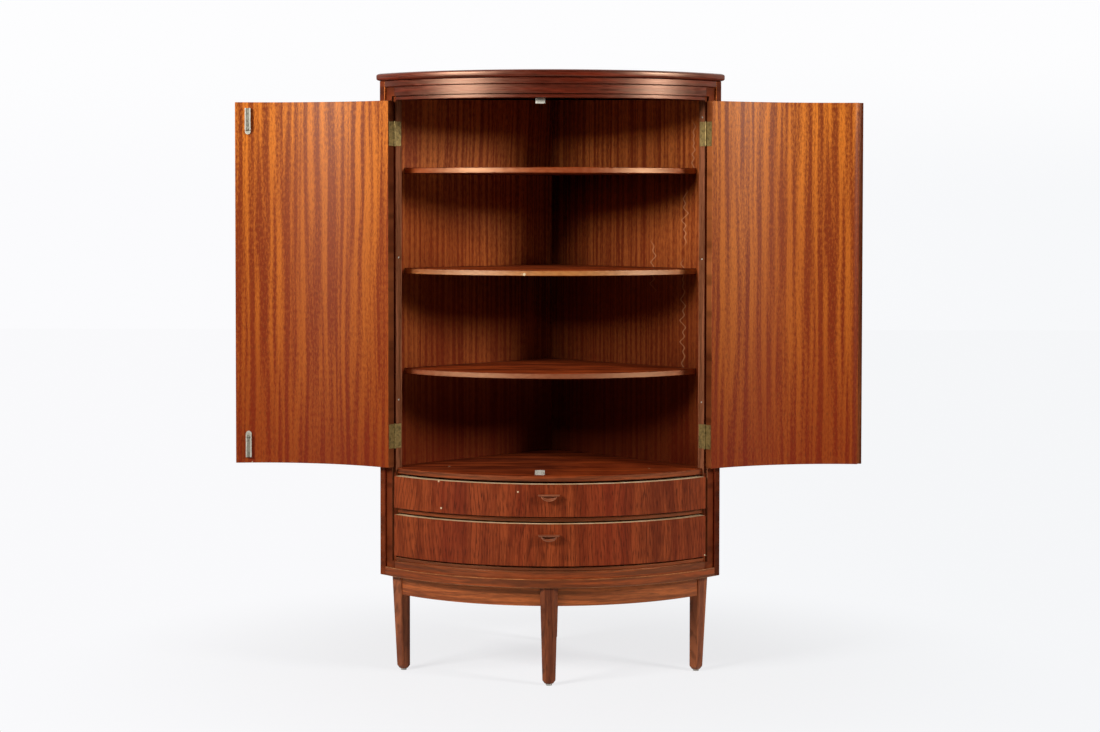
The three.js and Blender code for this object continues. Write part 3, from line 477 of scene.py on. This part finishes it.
def shapedCopy(nodeName, arris, segments):
    # A merged copy of a node, with its sharp edges eased as by hand-plane and its curves smooth
    source = frame["nodes"][nodeName]
    piece = source.copy()
    piece.data = source.data.copy()
    piece.parent = None
    for key in list(piece.keys()):
        del piece[key]
    piece.name = nodeName + "_finished"
    piece.data.name = piece.name
    piece.data.materials.clear()
    bpy.context.scene.collection.objects.link(piece)
    onlySelect(piece)
    bpy.ops.object.mode_set(mode="EDIT")
    bpy.ops.mesh.select_all(action="SELECT")
    bpy.ops.mesh.remove_doubles(threshold=shaping["mergeWithin"])
    bpy.ops.mesh.dissolve_limited(angle_limit=math.radians(shaping["flatBelow"]))
    bpy.ops.object.mode_set(mode="OBJECT")
    if arris:
        bevel = piece.modifiers.new("arris", "BEVEL")
        bevel.width = arris / 1000
        bevel.segments = segments
        bevel.limit_method = "ANGLE"
        bevel.angle_limit = math.radians(shaping["easeAbove"])
        bevel.use_clamp_overlap = True
        bpy.ops.object.modifier_apply(modifier=bevel.name)
    bpy.ops.object.shade_smooth_by_angle(angle=math.radians(shaping["smoothBelow"]))
    if arris:
        even = piece.modifiers.new("even", "WEIGHTED_NORMAL")
        even.keep_sharp = True
        bpy.ops.object.modifier_apply(modifier=even.name)
    return piece


def aroundFront(point):
    # length round the curved front, for a point on or near it
    out = point - caseLines["arcCentre"]
    return caseLines["frontRadius"] * math.atan2(out.x, -out.y)


def alongWall(point):
    # length along the nearer wall, from the corner behind
    out = point - caseLines["corner"]
    return (abs(out.x) - out.y) / math.sqrt(2)


def isLevel(normal):
    return abs(normal.z) > 0.7


# Each rule gives (across the grain, along the grain) in metres for a point with a face normal.
def grainUpFront(point, normal):
    return aroundFront(point), point.z


def grainRoundFront(point, normal):
    if isLevel(normal):
        return (point - caseLines["arcCentre"]).xy.length, aroundFront(point)
    return point.z, aroundFront(point)


def grainUpWall(point, normal):
    return alongWall(point), point.z


def grainAcrossBoard(point, normal):
    if isLevel(normal):
        return point.y, point.x
    return point.z, aroundFront(point)


def grainAlongWall(point, normal):
    # the slant keeps the grain of the two walls' boards from being the same
    across = (point - caseLines["corner"]).y if isLevel(normal) else point.z + point.x * 0.1
    return across, alongWall(point)


def grainUpLeg(point, normal):
    # cut at a slant, so that no face of a leg is drawn out
    return point.x * 0.8 + point.y * 0.6, point.z


def layGrain(piece, rule):
    mesh = piece.data
    layer = mesh.uv_layers.get("grain") or mesh.uv_layers.new(name="grain")
    for face in mesh.polygons:
        for corner in face.loop_indices:
            point = mesh.vertices[mesh.loops[corner].vertex_index].co
            layer.data[corner].uv = rule(point, face.normal)


def dress(piece, body, finishes, choose=None):
    for finish in finishes:
        piece.data.materials.append(finish)
    for face in piece.data.polygons:
        face.material_index = choose(face) if choose else 0
    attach(piece, body)


def finishNode(nodeName, body, arris, rule, finishes, choose=None, segments=2):
    piece = shapedCopy(nodeName, arris, segments)
    if rule:
        layGrain(piece, rule)
    dress(piece, body, finishes, choose)
    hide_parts(nodeName)


def handOf(side):
    return 1 if side == "right" else -1


def towardOpening(hand):
    # square to a wall, from it into the case
    return Vector((-hand, -1, 0)).normalized()


def facingOpening(face):
    return face.normal.dot(towardOpening(1 if face.center.x > 0 else -1))


# The case: how far its edges are eased, in millimetres
caseLooks = {"topArris": 1.2, "frameArris": 0.5, "railArris": 0.9, "legArris": 0.8, "glideArris": 0.6}


def wallFace(face):
    # 0 outside veneer, 1 lining, 2 front edge
    facing = facingOpening(face)
    return 1 if facing > 0.7 else 0 if facing < -0.7 else 2


def openingFace(face):
    # the stile's face toward the opening, left unpolished
    return 1 if facingOpening(face) > 0.9 else 0


def shelfFace(face):
    return 0 if isLevel(face.normal) else 1


def arrisFace(face):
    # the eased long edges, drawn lighter as a painted highlight where they catch the light
    return 1 if 0.3 < abs(face.normal.z) < 0.95 else 0


finishNode("top_board", "carcase", caseLooks["topArris"], grainAcrossBoard, [woods["solid"]],
           segments=3)
finishNode("inner_top", "carcase", 0, grainAcrossBoard, [woods["solid"]])
# the bottom board's eased edges take the painted highlight
finishNode("bottom_board", "carcase", 0, grainAcrossBoard, [woods["railTeak"], woods["paintedHighlightArris"]],
           arrisFace)
# The right side's front edge takes the darker copy of the stile finish, as painted shade.
for nodeName, lining, edge in (("left_side_panel", "caseInside", "stile"),
                               ("right_side_panel", "caseInsideRight", "paintedShadeEdge")):
    finishNode(nodeName, "carcase", 0, grainUpWall,
               [woods["caseOutside"], woods[lining], woods[edge]], wallFace)
for nodeName in ("left_stile", "right_stile"):
    finishNode(nodeName, "carcase", caseLooks["frameArris"], grainUpWall,
               [woods["stile"], woods["innerFace"]], openingFace)
# the eased edges of the bottom rail and divider take the painted highlight, and the top rail's keep its own
# finish
for nodeName, rule, face, arris in (("top_rail", grainRoundFront, "solid", "solid"),
                                    ("bottom_rail", grainRoundFront, "railTeak", "paintedHighlightArris"),
                                    ("drawer_divider", grainAcrossBoard, "railTeak", "paintedHighlightArris")):
    finishNode(nodeName, "carcase", caseLooks["railArris"], rule, [woods[face], woods[arris]], arrisFace)
for nodeName, edge in (("cupboard_floor", "railTeak"), ("lower_shelf", "lowerShelfEdge"),
                       ("middle_shelf", "paleEdge"), ("upper_shelf", "shelfEdge")):
    finishNode(nodeName, "carcase", 0, grainAcrossBoard, [woods["shelf"], woods[edge]], shelfFace)
for nodeName in ("upper_drawer_runner", "lower_drawer_runner"):
    finishNode(nodeName, "carcase", caseLooks["frameArris"], grainUpLeg, [woods["bare"]])
print("case dressed")

for nodeName in ("left_leg", "right_leg", "rear_leg", "centre_leg"):
    # the centre leg takes the darker copy of the legs' finish, as painted shade
    finish = "centreLeg" if nodeName == "centre_leg" else "legs"
    finishNode(nodeName, "carcase", caseLooks["legArris"], grainUpLeg, [woods[finish]])
for nodeName, rule in (("front_apron", grainRoundFront), ("left_apron", grainAlongWall),
                       ("right_apron", grainAlongWall)):
    finishNode(nodeName, "carcase", caseLooks["legArris"], rule, [woods["apron"]])
for nodeName in ("left_glide", "right_glide", "rear_glide", "centre_glide"):
    finishNode(nodeName, "carcase", caseLooks["glideArris"], None, [metals["nylon"]])
print("base dressed")

# The doors and their brassware: radii in metres, arrises in millimetres
doorLooks = {
    "openDegrees": 172.4, "innerRadius": 0.4327, "grainRadius": 0.44, "hingeEdgeWithin": 0.06,
    "leafArris": 0.12, "pullArris": 0.3, "caseArris": 0.15, "slideArris": 0.2, "keeperArris": 0.5,
}


def doorPin(side):
    joint = next(j for j in frame["joints"] if j["name"] == side + "_door_hinge")
    return Vector(joint["pos_m"]) * caseLines["onPlan"]


def openTurn(side):
    # from shut to standing open
    return Matrix.Rotation(math.radians(doorLooks["openDegrees"]) * handOf(side), 3, "Z")


def swungOpen(side, point):
    pin = doorPin(side)
    return pin + openTurn(side) @ (point - pin)


for side in ("left", "right"):
    centre = swungOpen(side, caseLines["arcCentre"])  # of the open door's curve

    def grainUpDoor(point, normal, centre=centre):
        out = point - centre
        return doorLooks["grainRadius"] * math.atan2(out.x, out.y), point.z

    def doorFace(face, centre=centre, pin=doorPin(side)):
        # 0 inside veneer, 1 outside veneer, 2 solid edges and rebate, 3 the edge by the hinges
        out = (face.center - centre) * caseLines["onPlan"]
        facing = face.normal.dot(out.normalized())
        if facing < -0.7 and out.length < doorLooks["innerRadius"] + 0.001:
            return 0
        if facing > 0.7:
            return 1
        fromPin = (face.center - pin) * caseLines["onPlan"]
        return 3 if fromPin.length < doorLooks["hingeEdgeWithin"] else 2

    # On the right door the edge by the hinges takes the lighter copy of the edge finish, as painted light.
    finishNode(side + "_door", side + "_door", 0, grainUpDoor,
               [woods["doorInside"], woods["doorOutside"], woods["darkEdge"],
                woods["darkEdge" if side == "left" else "paintedLightEdge"]], doorFace)
    for level in ("lower", "upper"):
        title = side + "_" + level + "_hinge_"
        for part, body, arris in (("frame_leaf", "carcase", doorLooks["leafArris"]),
                                  ("door_leaf", side + "_door", doorLooks["leafArris"]),
                                  ("pin", "carcase", 0)):
            finishNode(title + part, body, arris, None, [metals["brass"]], segments=1)
finishNode("right_door_pull", "right_door", doorLooks["pullArris"], grainRoundFront, [woods["pull"]])
for level in ("upper", "lower"):
    finishNode(level + "_bolt_case", "left_door", doorLooks["caseArris"], None, [metals["nickel"]],
               segments=1)
    finishNode(level + "_bolt_slide", level + "_bolt", doorLooks["slideArris"], None, [metals["slide"]],
               segments=1)
    finishNode(level + "_keeper", "carcase", doorLooks["keeperArris"], None, [metals["keeper"]])
print("doors dressed")

drawerLooks = {"boxArris": 0.6, "pullArris": 0.7}


def drawerFrontFace(face):
    # the veneer covers the face and its lips, and the rest is bare
    out = (face.center - caseLines["arcCentre"]) * caseLines["onPlan"]
    return 0 if face.normal.dot(out.normalized()) > 0.6 else 1


for level in ("upper", "lower"):
    title = level + "_drawer_"
    body = level + "_drawer"
    finishNode(title + "front", body, 0, grainUpFront, [woods["drawerFront"], woods["lipping"]],
               drawerFrontFace)
    for part, arris, rule in (("left_side", drawerLooks["boxArris"], grainAlongWall),
                              ("right_side", drawerLooks["boxArris"], grainAlongWall),
                              ("back", drawerLooks["boxArris"], grainAcrossBoard),
                              ("bottom", 0, grainAcrossBoard)):
        finishNode(title + part, body, arris, rule, [woods["bare"]])
    finishNode(title + "pull", body, drawerLooks["pullArris"], grainRoundFront, [woods["pull"]])
print("drawers dressed")

# Countersunk slotted screws, in millimetres, each turned a little further than the last
screwLooks = {
    "radius": 2.1, "height": 0.5, "slotWidth": 0.6, "slotDepth": 0.35, "sides": 20, "edge": 0.12,
    "smoothBelow": 30, "firstTurn": 0.7, "nextTurn": 1.9,
}


def modelScrew(radius):
    # a head with its face along +Z and its underside at the origin
    high = screwLooks["height"] / 1000
    bpy.ops.object.select_all(action="DESELECT")
    bpy.ops.mesh.primitive_cylinder_add(vertices=screwLooks["sides"], radius=radius / 1000, depth=high,
                                        location=(0, 0, high / 2))
    head = bpy.context.object
    bevel = head.modifiers.new("edge", "BEVEL")
    bevel.width = screwLooks["edge"] / 1000
    bevel.segments = 1
    bevel.limit_method = "ANGLE"
    bpy.ops.object.modifier_apply(modifier=bevel.name)
    bpy.ops.mesh.primitive_cube_add(size=1, location=(0, 0, high))  # cuts the slot, half its own depth in
    tool = bpy.context.object
    tool.scale = (radius * 4 / 1000, screwLooks["slotWidth"] / 1000, screwLooks["slotDepth"] * 2 / 1000)
    bpy.ops.object.transform_apply(location=False, rotation=False, scale=True)
    onlySelect(head)
    cut = head.modifiers.new("slot", "BOOLEAN")
    cut.operation = "DIFFERENCE"
    cut.solver = "EXACT"
    cut.object = tool
    bpy.ops.object.modifier_apply(modifier=cut.name)
    bpy.data.objects.remove(tool)
    settle(head)
    bpy.ops.object.shade_smooth_by_angle(angle=math.radians(screwLooks["smoothBelow"]))
    return head


def driveScrews(name, body, places, facing, radius, finish):
    # one piece of all the screws in a plate
    heads = []
    for index, place in enumerate(places):
        head = modelScrew(radius)
        turn = facing.to_track_quat("Z", "Y").to_matrix().to_4x4()
        spin = Matrix.Rotation(screwLooks["firstTurn"] + screwLooks["nextTurn"] * index, 4, "Z")
        head.data.transform(Matrix.Translation(place) @ turn @ spin)
        heads.append(head)
    bpy.ops.object.select_all(action="DESELECT")
    for head in heads:
        head.select_set(True)
    bpy.context.view_layer.objects.active = heads[0]
    if len(heads) > 1:
        bpy.ops.object.join()
    piece = bpy.context.object
    piece.name = name
    dress(piece, body, [finish], None)


def fromWall(side, inset, along, height):
    # a place measured in millimetres from a side's outer face, from the rear corner and from the floor
    hand = handOf(side)
    return Vector((hand * (along - inset), -(along + inset), 0)) / math.sqrt(2) / 1000 + \
        caseLines["corner"] + Vector((0, 0, height / 1000))


# Each leaf has three screws, the middle one further from the knuckles. Faces are measured in
# millimetres from the side's outer face, alongs from the rear corner.
hingeLooks = {"frameFace": 42.2, "doorFace": 42.8, "sunk": 0.25, "alongs": (481.4, 487.6, 481.4), "edge": 8}
for side in ("left", "right"):
    inward = towardOpening(handOf(side))
    for level in ("lower", "upper"):
        low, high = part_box(side + "_" + level + "_hinge_frame_leaf")
        heights = [low.z * 1000 + hingeLooks["edge"], (low.z + high.z) * 500,
                   high.z * 1000 - hingeLooks["edge"]]
        rows = list(zip(hingeLooks["alongs"], heights))
        framePlaces = [fromWall(side, hingeLooks["frameFace"] - hingeLooks["sunk"], along, height)
                       for along, height in rows]
        driveScrews(side + "_" + level + "_frame_leaf_screws", "carcase", framePlaces, inward,
                    screwLooks["radius"], metals["brass"])
        doorPlaces = [swungOpen(side, fromWall(side, hingeLooks["doorFace"] + hingeLooks["sunk"], along,
                                               height)) for along, height in rows]
        driveScrews(side + "_" + level + "_door_leaf_screws", side + "_door", doorPlaces,
                    openTurn(side) @ -inward, screwLooks["radius"], metals["brass"])

stileScrews = {"inset": 41.9, "along": 485, "radius": 1.7,
               "heights": {"left": [860.9, 566.3], "right": [1150, 858.3, 562.6]}}
for side, heights in stileScrews["heights"].items():
    places = [fromWall(side, stileScrews["inset"], stileScrews["along"], height) for height in heights]
    driveScrews(side + "_stile_screws", "carcase", places, towardOpening(handOf(side)),
                stileScrews["radius"], metals["nickel"])

# The screw in the tail of each bolt's plate
boltLooks = {"tailFromEnd": 50.4, "plate": 2.5, "bedding": 0.3, "sunk": 0.2, "radius": 2.3}
leftCentre = swungOpen("left", caseLines["arcCentre"])
for level, sign in (("upper", -1), ("lower", 1)):
    low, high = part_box(level + "_bolt_case")
    end = high.z if level == "upper" else low.z
    outward = (((low + high) / 2 - leftCentre) * caseLines["onPlan"]).normalized()
    plateFace = doorLooks["innerRadius"] - (boltLooks["bedding"] + boltLooks["plate"]) / 1000
    face = leftCentre + outward * plateFace
    place = Vector((face.x, face.y, end + sign * boltLooks["tailFromEnd"] / 1000)) + \
        outward * boltLooks["sunk"] / 1000
    driveScrews(level + "_bolt_screw", "left_door", [place], -outward, boltLooks["radius"],
                metals["nickel"])
print("screws driven")

# Floor, backdrop and lamps. The white is greyer to the right, across the given reach of the floor
# in metres and of the backdrop as a direction.
studio = {
    "floorSize": 24, "floor": "#ECEAE8", "white": "#FBFBFD", "whiteRight": "#F7F8FA", "sky": "#FDFDFE",
    "fadeCentre": (0, -0.3, 0), "fadeReach": {"From Min": 0.3, "From Max": 1.15}, "farGlow": 0.985,
    "shadowTone": (0.25, 0.25, 0.25, 1), "nearGlow": 0.765,
    "floorReach": {"From Min": -0.8, "From Max": 1.0}, "backReach": {"From Min": -0.16, "From Max": 0.2},
    "skyReach": {"From Min": 0.0, "From Max": 0.07}, "fill": "#FFF6F0", "behindFrom": 0.1,
    "glow": {"From Min": -0.1, "From Max": 0.6, "To Min": 0.012, "To Max": 0.2},
    "rightLamp": {"at": (3.01, -2.06, 1.95), "size": (0.84, 0.76), "power": 34},
    "leftLamp": {"at": (-2.25, -2.27, 1.95), "size": (1.10, 0.80), "power": 41},
    "aim": (0, -0.3, 1.5), "spread": 104,
}


def whiteToRight(tree, reach, sideways):
    share = addNode(tree, "ShaderNodeMapRange", reach, {"Value": sideways})
    return addNode(tree, "ShaderNodeMix",
                   {6: linearColour(studio["white"]), 7: linearColour(studio["whiteRight"])},
                   {0: share.outputs[0]}, data_type="RGBA").outputs[2]


# To the camera the floor is near white, with the cabinet's faint shadow, and to all other rays
# it is plain pale paint.
bpy.ops.object.select_all(action="DESELECT")
bpy.ops.mesh.primitive_plane_add(size=studio["floorSize"], location=(0, 0, 0))
floor = bpy.context.object
floor.name = "studioFloor"
material, tree, output = emptyMaterial("paleFloor")
place = addNode(tree, "ShaderNodeTexCoord")
distance = addNode(tree, "ShaderNodeVectorMath", {1: studio["fadeCentre"]}, {0: place.outputs["Object"]},
                   operation="DISTANCE")
fade = addNode(tree, "ShaderNodeMapRange", studio["fadeReach"], {"Value": distance.outputs["Value"]},
               interpolation_type="SMOOTHSTEP")
rays = addNode(tree, "ShaderNodeLightPath")
matt = addNode(tree, "ShaderNodeBsdfDiffuse", {"Color": linearColour(studio["floor"])})
sides = addNode(tree, "ShaderNodeSeparateXYZ", links={0: place.outputs["Object"]})
whiteTone = whiteToRight(tree, studio["floorReach"], sides.outputs[0])
white = addNode(tree, "ShaderNodeEmission", {"Strength": studio["farGlow"]}, {"Color": whiteTone})
faint = addNode(tree, "ShaderNodeBsdfDiffuse", {"Color": studio["shadowTone"]})
paper = addNode(tree, "ShaderNodeEmission", {"Strength": studio["nearGlow"]}, {"Color": whiteTone})
paperLit = addNode(tree, "ShaderNodeAddShader", links={0: faint.outputs[0], 1: paper.outputs[0]})
sheet = addNode(tree, "ShaderNodeMixShader",
                links={0: fade.outputs[0], 1: paperLit.outputs[0], 2: white.outputs[0]})
blend = addNode(tree, "ShaderNodeMixShader",
                links={0: rays.outputs["Is Camera Ray"], 1: matt.outputs[0], 2: sheet.outputs[0]})
tree.links.new(blend.outputs[0], output.inputs[0])
floor.data.materials.append(material)
floor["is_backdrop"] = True

# The world is a faint fill on the cabinet, and white to the camera and to reflections of the back.
world = bpy.data.worlds.new("whiteStudio")
bpy.context.scene.world = world
world.use_nodes = True
tree = world.node_tree
tree.nodes.clear()
output = addNode(tree, "ShaderNodeOutputWorld")
direction = addNode(tree, "ShaderNodeTexCoord")
parts = addNode(tree, "ShaderNodeSeparateXYZ", links={0: direction.outputs["Generated"]})
glow = addNode(tree, "ShaderNodeMapRange", studio["glow"], {"Value": parts.outputs[1]})
fill = addNode(tree, "ShaderNodeBackground", {"Color": linearColour(studio["fill"])},
               {"Strength": glow.outputs[0]})
whiteTone = whiteToRight(tree, studio["backReach"], parts.outputs[0])
lift = addNode(tree, "ShaderNodeMapRange", studio["skyReach"], {"Value": parts.outputs[2]},
               interpolation_type="SMOOTHSTEP")
skyTone = addNode(tree, "ShaderNodeMix", {7: linearColour(studio["sky"])},
                  {0: lift.outputs[0], 6: whiteTone}, data_type="RGBA")
backdrop = addNode(tree, "ShaderNodeBackground", {"Strength": 1.0}, {"Color": skyTone.outputs[2]})
rays = addNode(tree, "ShaderNodeLightPath")
behind = addNode(tree, "ShaderNodeMath", {1: studio["behindFrom"]}, {0: parts.outputs[1]},
                 operation="GREATER_THAN")
mirrored = addNode(tree, "ShaderNodeMath",
                   links={0: rays.outputs["Is Glossy Ray"], 1: rays.outputs["Is Transmission Ray"]},
                   operation="MAXIMUM")
mirroredBehind = addNode(tree, "ShaderNodeMath", links={0: mirrored.outputs[0], 1: behind.outputs[0]},
                         operation="MULTIPLY")
shown = addNode(tree, "ShaderNodeMath",
                links={0: rays.outputs["Is Camera Ray"], 1: mirroredBehind.outputs[0]},
                operation="MAXIMUM")
blend = addNode(tree, "ShaderNodeMixShader",
                links={0: shown.outputs[0], 1: fill.outputs[0], 2: backdrop.outputs[0]})
tree.links.new(blend.outputs[0], output.inputs[0])

for name in ("rightLamp", "leftLamp"):
    lamp = studio[name]
    bpy.ops.object.light_add(type="AREA", location=lamp["at"])
    light = bpy.context.object
    light.name = name
    light.data.shape = "RECTANGLE"
    light.data.size, light.data.size_y = lamp["size"]
    light.data.energy = lamp["power"]
    light.data.spread = math.radians(studio["spread"])
    aim = Vector(studio["aim"]) - Vector(lamp["at"])
    light.rotation_euler = aim.to_track_quat("-Z", "Y").to_euler()
print("studio lit")

low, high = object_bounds()
